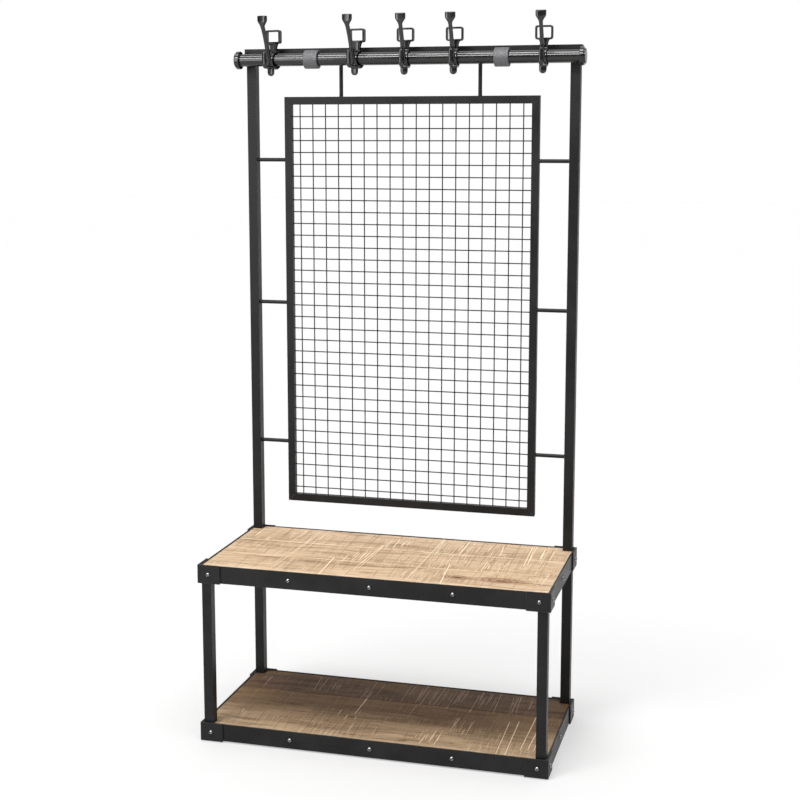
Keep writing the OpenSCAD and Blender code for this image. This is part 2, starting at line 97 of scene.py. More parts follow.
class Paint:
    """A node material around one Principled shader."""

    def __init__(self, name, **sockets):
        self.material = bpy.data.materials.new(name)
        self.material.use_nodes = True
        self.tree = self.material.node_tree
        self.tree.nodes.clear()
        self.output = self.tree.nodes.new("ShaderNodeOutputMaterial")
        self.shader = self.tree.nodes.new("ShaderNodeBsdfPrincipled")
        self.tree.links.new(self.shader.outputs[0], self.output.inputs[0])
        self.feed(self.shader, sockets)

    def feed(self, node, inputs):
        """Sets or links each input by its name or number."""
        for key, value in inputs.items():
            key = key.replace("_", " ") if isinstance(key, str) else key
            if isinstance(value, bpy.types.NodeSocket):
                self.tree.links.new(value, node.inputs[key])
            else:
                node.inputs[key].default_value = value

    def node(self, kind, inputs=None, **settings):
        made = self.tree.nodes.new(kind)
        for key, value in settings.items():
            setattr(made, key, value)
        self.feed(made, inputs or {})
        return made

    def place(self, scale, offset=(0, 0, 0), turn=0.0):
        """Object coordinates, scaled and shifted."""
        coords = self.node("ShaderNodeTexCoord").outputs["Object"]
        inputs = {"Vector": coords, "Scale": scale, "Location": offset, "Rotation": (0, 0, turn)}
        return self.node("ShaderNodeMapping", inputs).outputs[0]

    def noise(self, vector, scale=1.0, detail=3.0, roughness=0.5, distortion=0.0):
        inputs = {"Vector": vector, "Scale": scale, "Detail": detail, "Roughness": roughness,
                  "Distortion": distortion}
        return self.node("ShaderNodeTexNoise", inputs).outputs["Fac"]

    def span(self, value, low, high, to_low=0.0, to_high=1.0):
        """Maps low..high to to_low..to_high, smoothly and clamped."""
        inputs = {"Value": value, "From Min": low, "From Max": high, "To Min": to_low, "To Max": to_high}
        return self.node("ShaderNodeMapRange", inputs, interpolation_type="SMOOTHSTEP").outputs[0]

    def math(self, operation, a, b=0.0):
        return self.node("ShaderNodeMath", {0: a, 1: b}, operation=operation).outputs[0]

    def mix(self, share, a, b, blend="MIX"):
        made = self.tree.nodes.new("ShaderNodeMix")
        made.data_type = "RGBA"
        made.blend_type = blend
        for key, value in ((0, share), (6, a), (7, b)):
            if isinstance(value, bpy.types.NodeSocket):
                self.tree.links.new(value, made.inputs[key])
            else:
                made.inputs[key].default_value = value if key == 0 else (*value, 1.0)
        return made.outputs[2]

    def ramp(self, value, stops):
        made = self.node("ShaderNodeValToRGB", {"Fac": value})
        band = made.color_ramp
        while len(band.elements) < len(stops):
            band.elements.new(0.5)
        for element, (place, colour) in zip(band.elements, stops):
            element.position = place
            element.color = (*colour, 1.0)
        return made.outputs["Color"]

    def edge_mask(self, radius, low, high):
        """1 on outer and inner edges, 0 on flat faces."""
        rounded = self.node("ShaderNodeBevel", {"Radius": radius}, samples=4).outputs[0]
        true = self.node("ShaderNodeNewGeometry").outputs["Normal"]
        dot = self.node("ShaderNodeVectorMath", {0: rounded, 1: true}, operation="DOT_PRODUCT")
        return self.span(dot.outputs["Value"], high, low)

    def bump(self, height, strength, distance):
        inputs = {"Height": height, "Strength": strength, "Distance": distance}
        self.feed(self.shader, {"Normal": self.node("ShaderNodeBump", inputs).outputs[0]})

    def colour(self, socket):
        self.feed(self.shader, {"Base Color": socket})

    def roughness(self, socket):
        self.feed(self.shader, {"Roughness": socket})


def powder_coat(name, dark, light, worn, roughness):
    """Satin charcoal powder coat: fine orange peel, faint mottling and paler edges, partly rubbed paint and
    partly a painted highlight.
    """
    paint = Paint(name, Specular_IOR_Level=0.2)
    mottling = paint.noise(paint.place((9, 9, 9)), 1.0, 4.0, 0.6)
    peel = paint.noise(paint.place((1, 1, 1)), 1100.0, 2.0, 0.6)
    edge_patches = paint.noise(paint.place((1, 1, 1)), 60.0, 4.0, 0.7)
    # paler edges broken by noise: partly wear, partly a painted highlight along the edges
    edges = paint.math("MULTIPLY", paint.edge_mask(1.3 * MM, 0.90, 0.995), paint.span(edge_patches, 0.42, 0.62))
    base = paint.mix(paint.span(mottling, 0.35, 0.65), dark, light)
    base = paint.mix(paint.math("MULTIPLY", peel, 0.35), base, light)
    paint.colour(paint.mix(edges, base, worn))
    paint.roughness(paint.span(mottling, 0.3, 0.7, roughness - 0.05, roughness + 0.08))
    paint.bump(peel, 0.22, 0.15 * MM)
    return paint.material


def gloss_enamel(name, base, roughness, ripple, coat=0.6):
    """Thick gloss black enamel with a faint ripple and a few dull spots."""
    paint = Paint(name, Specular_IOR_Level=0.5, Coat_Weight=coat, Coat_Roughness=0.06)
    cloud = paint.noise(paint.place((30, 30, 30)), 1.0, 3.0, 0.6)
    paint.colour(paint.mix(paint.span(cloud, 0.3, 0.7), base, tuple(c * 1.9 for c in base)))
    paint.roughness(paint.span(cloud, 0.35, 0.75, roughness, roughness + 0.12))
    fine = paint.noise(paint.place((1, 1, 1)), 260.0, 3.0, 0.6)
    paint.bump(fine, ripple, 0.2 * MM)
    return paint.material


def rough_casting(name, dark, light):
    """Matt grey sand casting: pitted and speckled."""
    paint = Paint(name, Specular_IOR_Level=0.5, Metallic=0.25)
    grit = paint.noise(paint.place((1, 1, 1)), 900.0, 3.0, 0.7)
    pits = paint.noise(paint.place((1, 1, 1)), 330.0, 2.0, 0.6)
    paint.colour(paint.mix(paint.span(grit, 0.36, 0.64), dark, light))
    paint.roughness(paint.span(pits, 0.3, 0.7, 0.42, 0.68))
    paint.bump(paint.math("ADD", grit, pits), 0.75, 0.35 * MM)
    return paint.material


def bolt_metal(name, tone, roughness, metal):
    """Plated or blackened fastener steel with turned and rubbed marks."""
    paint = Paint(name, Metallic=metal, Specular_IOR_Level=0.5)
    cloud = paint.noise(paint.place((1, 1, 1)), 240.0, 3.0, 0.6)
    paint.colour(paint.mix(paint.span(cloud, 0.3, 0.7), tone, tuple(c * 1.8 for c in tone)))
    paint.roughness(paint.span(cloud, 0.3, 0.7, roughness, roughness + 0.15))
    paint.bump(cloud, 0.12, 0.1 * MM)
    return paint.material


def moulded_plastic(name, base):
    """Matt black moulded plastic with a fine grain."""
    paint = Paint(name, Specular_IOR_Level=0.4)
    grain = paint.noise(paint.place((1, 1, 1)), 700.0, 3.0, 0.6)
    paint.colour(paint.mix(paint.span(grain, 0.3, 0.7), base, tuple(c * 1.5 for c in base)))
    paint.roughness(paint.span(grain, 0.3, 0.7, 0.5, 0.65))
    paint.bump(grain, 0.3, 0.15 * MM)
    return paint.material


def wood(name, pale, tan, brown, offset, knots=(), cut_colour=(0.86, 0.72, 0.53), painted_shade=None, rub=1.0):
    """Weathered plank timber, grain along X. The attributes saw and worn mark cuts and eased edges.
    A painted shade (front Y, rear Y, tint) darkens the timber towards the rear, as the shade under a deck
    above does; rub is how pale worn edges are."""
    paint = Paint(name, Specular_IOR_Level=0.14)
    warp = paint.noise(paint.place((4, 16, 16), offset), 1.0, 3.0, 0.55)
    lift = paint.node("ShaderNodeCombineXYZ", {"Y": paint.math("MULTIPLY", warp, 2.6)}).outputs[0]
    coords = paint.node("ShaderNodeVectorMath", {0: paint.place((1.7, 34, 34), offset), 1: lift},
                        operation="ADD").outputs[0]
    figure = paint.noise(coords, 1.5, 7.0, 0.66, 0.5)
    fibre = paint.noise(paint.place((16, 620, 620), offset), 1.0, 3.0, 0.65)
    streak = paint.noise(paint.place((5.5, 150, 150), offset), 1.0, 5.0, 0.62)
    fleck = paint.noise(paint.place((22, 240, 240), offset), 1.0, 2.0, 0.5)
    patch = paint.noise(paint.place((4.5, 9, 9), offset), 1.0, 3.0, 0.55)
    colour = paint.ramp(figure, [(0.32, brown), (0.43, tan), (0.54, pale), (0.68, tan)])
    colour = paint.mix(paint.span(patch, 0.44, 0.62, 0.0, 0.55), colour, tan)
    colour = paint.mix(paint.span(patch, 0.30, 0.44, 0.55, 0.0), colour, pale)
    shady = paint.span(patch, 0.40, 0.66, 0.25, 1.0)
    streaks = paint.math("MULTIPLY", paint.span(streak, 0.52, 0.68, 0.0, 0.80), shady)
    colour = paint.mix(streaks, colour, brown)
    colour = paint.mix(paint.span(fibre, 0.32, 0.60, 0.42, 0.0), colour, brown)
    colour = paint.mix(paint.span(fleck, 0.66, 0.74, 0.0, 0.80), colour, tuple(c * 0.5 for c in brown))
    chatter = paint.noise(paint.place((360, 14, 14), offset), 1.0, 3.0, 0.62)
    rough_sawn = paint.span(patch, 0.46, 0.60, 0.15, 1.0)
    # the ridges of the rough-sawn faces get a painted highlight in the cut colour and a painted shade in
    # brown
    lit_ridges = paint.math("MULTIPLY", paint.span(chatter, 0.53, 0.68, 0.0, 0.60), rough_sawn)
    shaded_ridges = paint.math("MULTIPLY", paint.span(chatter, 0.46, 0.32, 0.0, 0.50), rough_sawn)
    colour = paint.mix(lit_ridges, colour, cut_colour)
    colour = paint.mix(shaded_ridges, colour, brown)
    for x, y, size, depth in knots:
        centre = paint.node("ShaderNodeVectorMath", {0: paint.place((1, 1, 1)), 1: (x, y, 0)},
                            operation="SUBTRACT").outputs[0]
        flat = paint.node("ShaderNodeVectorMath", {0: centre, 1: (0.36, 1.0, 0.0)},
                          operation="MULTIPLY").outputs[0]
        away = paint.node("ShaderNodeVectorMath", {0: flat}, operation="LENGTH").outputs["Value"]
        stray = paint.math("MULTIPLY", paint.math("SUBTRACT", figure, 0.5), size * 2.4)
        ragged = paint.math("ADD", away, stray)
        rings = paint.math("SINE", paint.math("MULTIPLY", ragged, 15.0 / size))
        halo = paint.span(ragged, size * 2.4, size * 0.9, 0.0, 0.85 * depth)
        shade = paint.math("MULTIPLY", halo, paint.span(rings, -0.6, 0.9, 0.35, 1.0))
        rust = (brown[0] * 0.78, brown[1] * 0.42, brown[2] * 0.28)
        colour = paint.mix(shade, colour, rust)
        heart = paint.math("MULTIPLY", paint.span(ragged, size * 0.60, size * 0.25, 0.0, depth),
                           paint.span(streak, 0.36, 0.52))
        colour = paint.mix(heart, colour, tuple(c * 0.14 for c in brown))
    # painted shade: the timber darkens from front Y to rear Y, as in the shade under the seat
    if painted_shade:
        front, rear, tint = painted_shade
        depth = paint.node("ShaderNodeSeparateXYZ", {0: paint.place((1, 1, 1))}).outputs["Y"]
        uneven = paint.math("ADD", depth, paint.math("MULTIPLY", paint.math("SUBTRACT", patch, 0.5), 0.12))
        colour = paint.mix(paint.span(uneven, front, rear), colour, paint.mix(1.0, colour, tint, "MULTIPLY"))
    saw = paint.node("ShaderNodeAttribute", attribute_name="saw").outputs["Fac"]
    broken = paint.noise(paint.place((150, 110, 110), offset), 1.0, 3.0, 0.7)
    # a painted shadow in brown along both sides of each saw cut
    cut_shadow = paint.math("MULTIPLY", paint.span(saw, 0.04, 0.16), paint.span(saw, 0.42, 0.20))
    colour = paint.mix(paint.math("MULTIPLY", cut_shadow, 0.55), colour, brown)
    marks = paint.math("MULTIPLY", paint.span(saw, 0.16, 0.62), paint.span(broken, 0.30, 0.50, 0.45, 1.0))
    colour = paint.mix(marks, colour, cut_colour)
    worn = paint.node("ShaderNodeAttribute", attribute_name="worn").outputs["Fac"]
    chafing = paint.noise(paint.place((26, 40, 40), offset), 1.0, 3.0, 0.6)
    patchy = paint.span(chafing, 0.36, 0.60, 0.25 * rub, rub)
    colour = paint.mix(paint.math("MULTIPLY", worn, patchy), colour, cut_colour)
    paint.colour(colour)
    paint.roughness(paint.span(fibre, 0.3, 0.7, 0.58, 0.76))
    relief = paint.math("ADD", paint.math("MULTIPLY", fibre, 0.5), figure)
    paint.bump(paint.math("SUBTRACT", relief, paint.math("MULTIPLY", marks, 0.6)), 0.45, 0.5 * MM)
    return paint.material


# ---------- mesh helpers ----------

def new_piece(name, mesh, material, body="frame"):
    """Shows a mesh with one material, on a body."""
    made = bpy.data.objects.new(name, mesh)
    bpy.context.scene.collection.objects.link(made)
    made.data.materials.clear()
    made.data.materials.append(material)
    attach(made, body)
    return made


def oval(width, height, squareness, count=28):
    """Points of a superellipse: squareness 2 is an ellipse, and more is a rounded rectangle."""
    points = []
    for i in range(count):
        a = 2 * math.pi * i / count
        c, s = math.cos(a), math.sin(a)
        points.append((math.copysign(abs(c) ** (2 / squareness), c) * width / 2,
                       math.copysign(abs(s) ** (2 / squareness), s) * height / 2))
    return points


def skin(bm, rings, closed=False):
    """Joins rings of points with quads, and caps the ends of an open row of rings."""
    made = [[bm.verts.new(p) for p in ring] for ring in rings]
    count = len(made[0])
    pairs = list(zip(made, made[1:] + made[:1])) if closed else list(zip(made, made[1:]))
    for a, b in pairs:
        for i in range(count):
            bm.faces.new((a[i], a[(i + 1) % count], b[(i + 1) % count], b[i]))
    if not closed:
        bm.faces.new(reversed(made[0]))
        bm.faces.new(made[-1])


def sweep(bm, stations, squareness):
    """Sweeps a section along a path in the YZ plane. A station is (y, z, width, thickness)."""
    rings = []
    for i, (y, z, width, thick) in enumerate(stations):
        before, after = stations[max(i - 1, 0)], stations[min(i + 1, len(stations) - 1)]
        along = Vector((0, after[0] - before[0], after[1] - before[1])).normalized()
        across = Vector((0, -along.z, along.y))
        rings.append([Vector((u, y, z)) + across * v for u, v in oval(width, thick, squareness)])
    skin(bm, rings)


def smooth_stations(stations, steps=6):
    """Catmull-Rom between given stations."""
    made = []
    for i in range(len(stations) - 1):
        p = [stations[max(i - 1, 0)], stations[i], stations[i + 1], stations[min(i + 2, len(stations) - 1)]]
        for k in range(steps):
            t = k / steps
            made.append(tuple(0.5 * (2 * b + (c - a) * t + (2 * a - 5 * b + 4 * c - d) * t * t
                                     + (3 * b - a - 3 * c + d) * t ** 3) for a, b, c, d in zip(*p)))
    return [*made, stations[-1]]


def band(bm, inner, outer, width, corner, count=112):
    """A round band about the X axis with rounded rims."""
    half, profile = width / 2, []
    corners = ((half, outer, 0), (-half, outer, 90), (-half, inner, 180), (half, inner, 270))
    for x, r, start in corners:
        sx, sr = math.copysign(1, x), 1 if r == outer else -1
        for k in range(5):
            a = math.radians(start + k * 90 / 4)
            cx, cr = x - sx * corner, r - sr * corner
            profile.append((cx + corner * math.cos(a), cr + corner * math.sin(a)))
    rings = []
    for i in range(count):
        a = 2 * math.pi * i / count
        rings.append([Vector((x, r * math.cos(a), r * math.sin(a))) for x, r in profile])
    skin(bm, rings, closed=True)


def cast(name, bm, voxel, rounds, grit=0.0):
    """Fuses overlapping closed shells into one casting with soft fillets, and returns its mesh."""
    bmesh.ops.recalc_face_normals(bm, faces=bm.faces)
    mesh = bpy.data.meshes.new(name)
    bm.to_mesh(mesh)
    bm.free()
    holder = bpy.data.objects.new(name, mesh)
    bpy.context.scene.collection.objects.link(holder)
    fuse = holder.modifiers.new("fuse", "REMESH")
    fuse.mode, fuse.voxel_size, fuse.use_smooth_shade = "VOXEL", voxel, True
    soften = holder.modifiers.new("soften", "SMOOTH")
    soften.factor, soften.iterations = 0.5, rounds
    bpy.context.view_layer.update()
    shown = holder.evaluated_get(bpy.context.evaluated_depsgraph_get())
    made = bpy.data.meshes.new_from_object(shown)
    bpy.data.objects.remove(holder)
    if grit:
        for v in made.vertices:
            v.co += v.normal * grit * noise.fractal(v.co * 420, 0.8, 2.0, 3)
    made.shade_smooth()
    return made


def soft_shade():
    """A node group that shades every face smooth, so that weighted normals can act."""
    group = bpy.data.node_groups.new("soft_shade", "GeometryNodeTree")
    group.interface.new_socket("Geometry", in_out="INPUT", socket_type="NodeSocketGeometry")
    group.interface.new_socket("Geometry", in_out="OUTPUT", socket_type="NodeSocketGeometry")
    start = group.nodes.new("NodeGroupInput")
    smooth = group.nodes.new("GeometryNodeSetShadeSmooth")
    end = group.nodes.new("NodeGroupOutput")
    group.links.new(start.outputs[0], smooth.inputs["Geometry"])
    group.links.new(smooth.outputs[0], end.inputs[0])
    return group


SOFT_SHADE = soft_shade()


def dress(node, material, bevel=0.0, segments=2):
    """Gives a CAD node its material, and rounds its edges with modifiers alone."""
    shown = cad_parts[node]
    for holder in shown.material_slots:
        holder.material = material
    if bevel:
        weld = shown.modifiers.new("weld", "WELD")
        weld.merge_threshold = 0.01 * MM
        flat = shown.modifiers.new("flat", "DECIMATE")
        flat.decimate_type, flat.angle_limit = "DISSOLVE", math.radians(1)
        ease = shown.modifiers.new("ease", "BEVEL")
        ease.width, ease.segments = bevel, segments
        ease.limit_method, ease.angle_limit = "ANGLE", math.radians(40)
        ease.use_clamp_overlap = False
        shade = shown.modifiers.new("shade", "NODES")
        shade.node_group = SOFT_SHADE
        normals = shown.modifiers.new("normals", "WEIGHTED_NORMAL")
        normals.keep_sharp, normals.weight = False, 80


# ---------- planks ----------

def spread(low, high, step, breaks=()):
    """Grid lines from low to high, close together beside each edge and each break."""
    near = (0.0, 0.35 * MM, 0.9 * MM, 1.6 * MM, 2.6 * MM, 3.8 * MM)
    lines = set(np.linspace(low, high, max(2, round((high - low) / step))).tolist())
    for centre in (low, high, *breaks):
        lines = {v for v in lines if abs(v - centre) > near[-1]}
        lines |= {centre + side * n for n in near for side in (-1, 1)}
    kept = sorted(round(v, 7) for v in lines if low - 1e-9 <= v <= high + 1e-9)
    return np.array([v for i, v in enumerate(kept) if i == 0 or v - kept[i - 1] > 1e-6])


def saw_cuts(seed, groups):
    """Cuts across one deck. A group is (place along the deck, count, spacing in mm, front end, rear end,
    strength), with its place and ends as shares of the deck's length and depth."""
    draw = random.Random(seed)
    cuts = []
    for place, count, spacing, start, end, strength in groups:
        lean = draw.uniform(-0.06, 0.03)
        at = 0.0
        for _ in range(count):
            cuts.append((place, at, lean + draw.uniform(-0.05, 0.05),
                         start + draw.uniform(-0.07, 0.12), end + draw.uniform(-0.14, 0.05),
                         draw.uniform(0.8, 1.5) * MM, strength * draw.uniform(0.5, 1.0)))
            at += spacing * draw.uniform(0.35, 1.65) * MM
    return cuts


def cut_map(xs, ys, deck_low, deck_high, cuts):
    """How strongly each point of the grid is cut, from 0 to 1."""
    grid_x, grid_y = np.meshgrid(xs, ys, indexing="ij")
    share = (grid_y - deck_low.y) / (deck_high.y - deck_low.y)
    marks = np.zeros_like(grid_x)
    for place, along, lean, start, end, half_width, strength in cuts:
        middle = deck_low.x + place * (deck_high.x - deck_low.x) + along + lean * (grid_y - deck_low.y)
        fade = np.clip((share - start) / 0.07, 0, 1) * np.clip((end - share) / 0.07, 0, 1)
        marks = np.maximum(marks, strength * fade * np.exp(-((grid_x - middle) / half_width) ** 2))
    return marks


def plank(node, material, seed, deck_low, deck_high, cuts):
    """A plank with eased, slightly uneven edges, notches round the tubes and shallow saw cuts."""
    low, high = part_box(node)
    notches = []
    for tube in TUBES:
        a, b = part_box(tube)
        crosses = a.z < low.z - MM and b.z > high.z - MM
        if crosses and a.x < high.x and b.x > low.x and a.y < high.y and b.y > low.y:
            notches.append((a.x - TUBE_GAP, b.x + TUBE_GAP, a.y - TUBE_GAP, b.y + TUBE_GAP))
    xs = spread(low.x, high.x, 1.0 * MM, [v for n in notches for v in n[:2]])
    ys = spread(low.y, high.y, 4.0 * MM, [v for n in notches for v in n[2:]])
    marks = cut_map(xs, ys, deck_low, deck_high, cuts)
    bm = bmesh.new()
    saw = bm.verts.layers.float.new("saw")
    worn = bm.verts.layers.float.new("worn")
    top = {}

    def vertex(i, j):
        if (i, j) in top:
            return top[i, j]
        x, y, mark = float(xs[i]), float(ys[j]), float(marks[i, j])
        away = min(x - low.x, high.x - x, y - low.y, high.y - y)
        for x0, x1, y0, y1 in notches:
            away = min(away, math.hypot(max(x0 - x, x - x1, 0), max(y0 - y, y - y1, 0)))
        ease = PLANK_EASE * (1.0 + 0.5 * noise.noise(Vector((x * 45, y * 45, seed))))
        drop = ease - math.sqrt(max(ease ** 2 - max(ease - away, 0) ** 2, 0))
        wave = PLANK_WAVE * noise.noise(Vector((x * 9, y * 22, seed * 3)))
        z = high.z - PLANK_WAVE + wave - drop * 0.8 - SAW_DEPTH * mark
        v = bm.verts.new((x, y, z))
        v[saw] = mark
        rubbed = max(0.0, 1.0 - away / WORN_EDGE)
        v[worn] = max(rubbed, 0.75 * max(0.0, 1.0 - (y - deck_low.y) / WORN_FRONT))
        top[i, j] = v
        return v

    for i in range(len(xs) - 1):
        for j in range(len(ys) - 1):
            x, y = (xs[i] + xs[i + 1]) / 2, (ys[j] + ys[j + 1]) / 2
            if any(n[0] < x < n[1] and n[2] < y < n[3] for n in notches):
                continue
            bm.faces.new((vertex(i, j), vertex(i + 1, j), vertex(i + 1, j + 1), vertex(i, j + 1)))
    rim = [e for e in bm.edges if e.is_boundary]
    walls = bmesh.ops.extrude_edge_only(bm, edges=rim)["geom"]
    for v in (g for g in walls if isinstance(g, bmesh.types.BMVert)):
        v.co.z = low.z
        v[saw] = 0.0
        v[worn] = 0.0
    bmesh.ops.holes_fill(bm, edges=[e for e in bm.edges if e.is_boundary])
    bmesh.ops.recalc_face_normals(bm, faces=bm.faces)
    mesh = bpy.data.meshes.new(node + "_board")
    bm.to_mesh(mesh)
    bm.free()
    mesh.shade_smooth()
    mesh.set_sharp_from_angle(angle=math.radians(50))
    made = new_piece(node + "_board", mesh, material)
    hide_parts(node)


# ---------- hooks and clips ----------

def hook_mesh(ring_in):
    """One cast hook about the middle of its ring: band, neck, open loop, prong, knob, leaf and lug."""
    bm = bmesh.new()
    band(bm, ring_in, RING_OUT, RING_W, 1.2 * MM)
    # neck, from the ring up to the loop: height, width and depth in millimetres
    neck = [(19.7, 19.5, 8), (24, 19, 9), (31, 19.5, 10), (37, 22, 11), (42, 26.5, 11.5), (46.5, 31, 11)]
    rings = [[Vector((u, v, z)) * MM for u, v in oval(w, d, 4)] for z, w, d in smooth_stations(neck, 4)]
    skin(bm, rings)
    half_w, half_h = LOOP_W / 2 - LOOP_STRIP / 2, LOOP_H / 2 - LOOP_STRIP / 2
    corner, middle_z = LOOP_CORNER - LOOP_STRIP / 2, LOOP_BASE + LOOP_H / 2
    rings = []
    for sx, sz, start in ((1, 1, 0), (-1, 1, 90), (-1, -1, 180), (1, -1, 270)):
        for k in range(7):
            a = math.radians(start + k * 15)
            out = Vector((math.cos(a), 0, math.sin(a)))
            centre = Vector((sx * (half_w - corner), 0, middle_z + sz * (half_h - corner))) + out * corner
            rings.append([centre + out * u + Vector((0, v, 0)) for u, v in oval(LOOP_STRIP, LOOP_DEPTH, 9)])
    skin(bm, rings, closed=True)
    # prong and knob, then strap and leaf: y, z, width and thickness in millimetres
    prong = [(-19.5, -14, 13, 5), (-21.5, -4, 12.5, 8), (-24.5, 10, 11.5, 10), (-29.5, 28, 10.8, 10.5),
             (-38, 54, 10, 10), (-47.5, 77, 9.6, 9.8), (-50.6, 84, 10.5, 10), (-51.6, 89, 15, 11),
             (-52, 94, 22, 12.3), (-52, 98, 26, 13), (-52, 104, 26.6, 13), (-52, 109.6, 26.4, 13),
             (-52, 111, 25.4, 12)]
    sweep(bm, [tuple(c * MM for c in s) for s in smooth_stations(prong)], 3.6)
    leaf = [(-10, -17.6, 18, 9), (-22, -17.8, 15.5, 9), (-31, -17.7, 12.5, 9), (-36, -17.5, 11.5, 9)]
    leaf += [(-36 + 9.5 * math.cos(math.radians(a)), -8 + 9.5 * math.sin(math.radians(a)), 11, 9)
             for a in range(258, 179, -13)]
    leaf += [(-45.6, 0, 10.5, 9), (-45.8, 8, 10, 8.6), (-46, 15, 10, 8), (-46.2, 20, 9, 7),
             (-46.2, 23.4, 5, 4)]
    sweep(bm, [tuple(c * MM for c in s) for s in leaf], 3.0)
    # lug: its round end, then the whole of it, as height, width and depth in millimetres
    lug = []
    for k in range(9):
        a = math.radians(90 * k / 8)
        lug.append((-30.5 - 9.5 * math.sin(a), 19 * max(math.cos(a), 0.12), 6 + 4 * max(math.cos(a), 0.1)))
    rings = []
    for z, w, d in [(-14, 19, 9), (-20, 19.6, 10), (-26, 19, 10), *lug]:
        rings.append([Vector((u, v - 14, z)) * MM for u, v in oval(w, d, 3.2)])
    skin(bm, rings)
    return cast("coat_hook", bm, HOOK_VOXEL, 2)


def hang_hooks(material):
    """A casting in place of each CAD hook. The two left ones are turned about the upright."""
    turned_shape, straight_shape = hook_mesh(RING_IN), hook_mesh(SNUG_RING_IN)
    rail_low, rail_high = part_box("coat_rail")
    for node in HOOKS:
        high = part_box(node)[1]
        turned = node.startswith("left")
        turn = -HOOK_TURN if turned else 0.0
        reach = LOOP_W / 2 * math.cos(turn) + LOOP_DEPTH / 2 * abs(math.sin(turn))
        place = Vector((high.x - reach, (rail_low.y + rail_high.y) / 2, high.z - HOOK_TOP))
        mesh = (turned_shape if turned else straight_shape).copy()
        mesh.transform(Matrix.Translation(place) @ Matrix.Rotation(turn, 4, "Z"))
        made = new_piece(node + "_casting", mesh, material, node)
        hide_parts(node)


def rail_clips(material):
    """The two cast bands that hold the coat rail, each with a foot against the bar."""
    rail_low, rail_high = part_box("coat_rail")
    axis = (rail_low + rail_high) / 2
    for node in ("left_rail_clip", "right_rail_clip"):
        low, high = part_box(node)
        bm = bmesh.new()
        radius = (high.z - low.z) / 2
        width = high.x - low.x - 2 * CLIP_SIDE_GAP
        band(bm, (rail_high.z - rail_low.z) / 2 + 0.1 * MM, radius - 0.3 * MM, width, CLIP_RIM)
        foot = bmesh.ops.create_cube(bm, size=1.0)["verts"]
        size = Vector((width, high.y - axis.y - CLIP_FOOT_START, CLIP_FOOT_H))
        for v in foot:
            v.co = Vector((v.co.x * size.x, v.co.y * size.y, v.co.z * size.z + CLIP_FOOT_UP))
            v.co.y += high.y - axis.y - size.y / 2 - 0.2 * MM
        mesh = cast(node + "_casting", bm, CLIP_VOXEL, 4, grit=CLIP_GRIT)
        mesh.transform(Matrix.Translation(((low.x + high.x) / 2, axis.y, axis.z)))
        made = new_piece(node + "_casting", mesh, material)
        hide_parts(node)


# ---------- welds ----------

def weld_beads(material):
    """Small fillet welds where the round rods meet the panel, the posts and the bar."""
    bm = bmesh.new()

    def bead(centre, axis, radius):
        rings = []
        side = Vector((0, 0, 1)) if abs(axis.z) < 0.5 else Vector((1, 0, 0))
        other = axis.cross(side)
        for i in range(28):
            a = 2 * math.pi * i / 28
            out = side * math.cos(a) + other * math.sin(a)
            fat = WELD_FAT * (1 + 0.22 * math.sin(9 * a + centre.x * 40))
            rings.append([centre + out * (radius + fat * 0.4 * u) + axis * fat * v
                          for u, v in oval(2, 2, 2, 8)])
        skin(bm, rings, closed=True)

    for node in ("panel_left_rods", "panel_right_rods", "panel_top_rods"):
        low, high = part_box(node)
        upright = node == "panel_top_rods"
        axis = Vector((0, 0, 1)) if upright else Vector((1, 0, 0))
        radius = (high.y - low.y) / 2
        y = (low.y + high.y) / 2
        if upright:
            for x in (low.x + radius, high.x - radius):
                bead(Vector((x, y, low.z + WELD_INSET)), axis, radius)
                bead(Vector((x, y, high.z - WELD_INSET)), axis, radius)
        else:
            for z in (low.z + radius, (low.z + high.z) / 2, high.z - radius):
                bead(Vector((low.x + WELD_INSET, y, z)), axis, radius)
                bead(Vector((high.x - WELD_INSET, y, z)), axis, radius)
    bmesh.ops.recalc_face_normals(bm, faces=bm.faces)
    mesh = bpy.data.meshes.new("rod_welds")
    bm.to_mesh(mesh)
    bm.free()
    mesh.shade_smooth()
    new_piece("rod_welds", mesh, material)


# ---------- the object ----------

# worn is the paler edge colour: partly rubbed paint, partly a painted highlight
steel = powder_coat("charcoal_powder_coat", dark=(0.0075, 0.0075, 0.0074), light=(0.015, 0.0151, 0.0149),
                    worn=(0.16, 0.16, 0.16), roughness=0.42)
wire = powder_coat("mesh_powder_coat", dark=(0.012, 0.012, 0.013), light=(0.022, 0.022, 0.024),
                   worn=(0.10, 0.10, 0.10), roughness=0.38)
rail_black = gloss_enamel("rail_gloss_black", (0.003, 0.003, 0.004), 0.14, 0.001, 0.10)
hook_black = gloss_enamel("hook_gloss_black", (0.004, 0.004, 0.0045), 0.16, 0.03, 0.3)
clip_grey = rough_casting("clip_grey_casting", (0.05, 0.05, 0.055), (0.19, 0.19, 0.20))
bolt_black = bolt_metal("bolt_black_oxide", (0.16, 0.16, 0.163), 0.16, 1.0)
screw_zinc = bolt_metal("screw_zinc", (0.42, 0.42, 0.40), 0.30, 1.0)
plug_black = moulded_plastic("plug_black_plastic", (0.012, 0.012, 0.012))

SEAT_WOOD = ((0.72, 0.53, 0.355), (0.53, 0.37, 0.23), (0.215, 0.128, 0.066))
# the shelf tones are partly browner timber and partly painted shade from the seat above; the rear shelf
# plank's tones hold the deepest painted shade
SHELF_WOOD = ((0.48, 0.345, 0.21), (0.33, 0.228, 0.135), (0.11, 0.069, 0.037))
SHADED_REAR_WOOD = ((0.15, 0.087, 0.046), (0.09, 0.051, 0.027), (0.032, 0.0175, 0.009))

